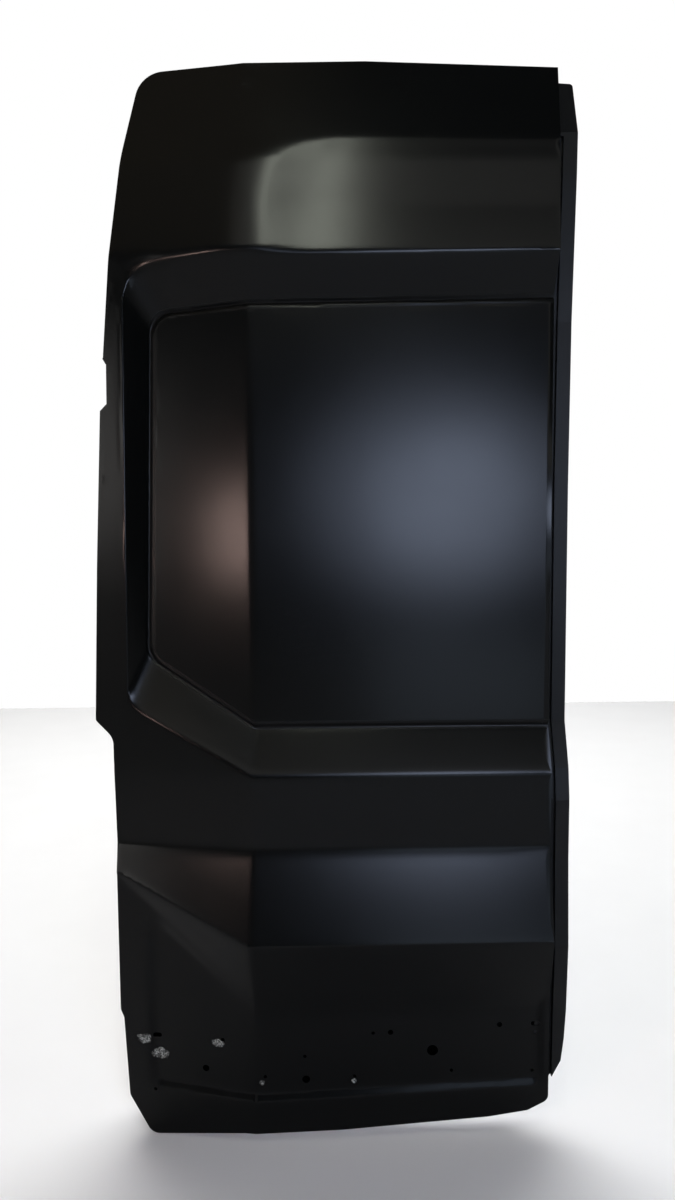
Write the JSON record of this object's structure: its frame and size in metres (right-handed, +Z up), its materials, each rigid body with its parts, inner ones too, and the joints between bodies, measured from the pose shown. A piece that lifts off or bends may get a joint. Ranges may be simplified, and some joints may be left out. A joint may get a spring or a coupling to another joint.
{
  "type": "van rear door",
  "caption": "Bare left-hand rear door shell of a tall panel van: pressed black skin with a blank window, set-back overlap flange, hinge plates and a ribbed inner panel.",
  "frame": {"origin": "middle of the flat outer face of the upper hinge plate", "axes": "+X across the door from the hinges to the centre seam, +Y from the street side into the van, +Z up"},
  "size_m": [0.8598, 0.1724, 1.9155],
  "materials": {
    "ecoat_skin": "satin black dip primer",
    "ecoat_inner": "flat black dip primer",
    "mastic": "soft anti-flutter bead"
  },
  "bodies": {
    "root": {"outer_skin": "ecoat_skin", "inner_upper": "ecoat_inner", "inner_hinge_side": "ecoat_inner", "inner_seam_side": "ecoat_inner", "inner_waist": "ecoat_inner", "inner_bottom": "ecoat_inner", "inner_rib": "ecoat_inner", "overlap_flange": "ecoat_inner", "upper_hinge_plate": "ecoat_inner", "lower_hinge_plate": "ecoat_inner", "upper_hinge_backing": "ecoat_inner", "lower_hinge_backing": "ecoat_inner", "check_plate": "ecoat_inner", "latch_plate": "ecoat_inner", "upper_rod_plate": "ecoat_inner", "lower_rod_plate": "ecoat_inner", "upper_beam": "ecoat_inner", "waist_beam": "ecoat_inner", "lower_beam": "ecoat_inner", "window_bow_seam": "ecoat_inner", "window_bow_bend": "ecoat_inner", "bow_pad_seam": "mastic", "bow_pad_bend": "mastic"}
  },
  "joints": []
}
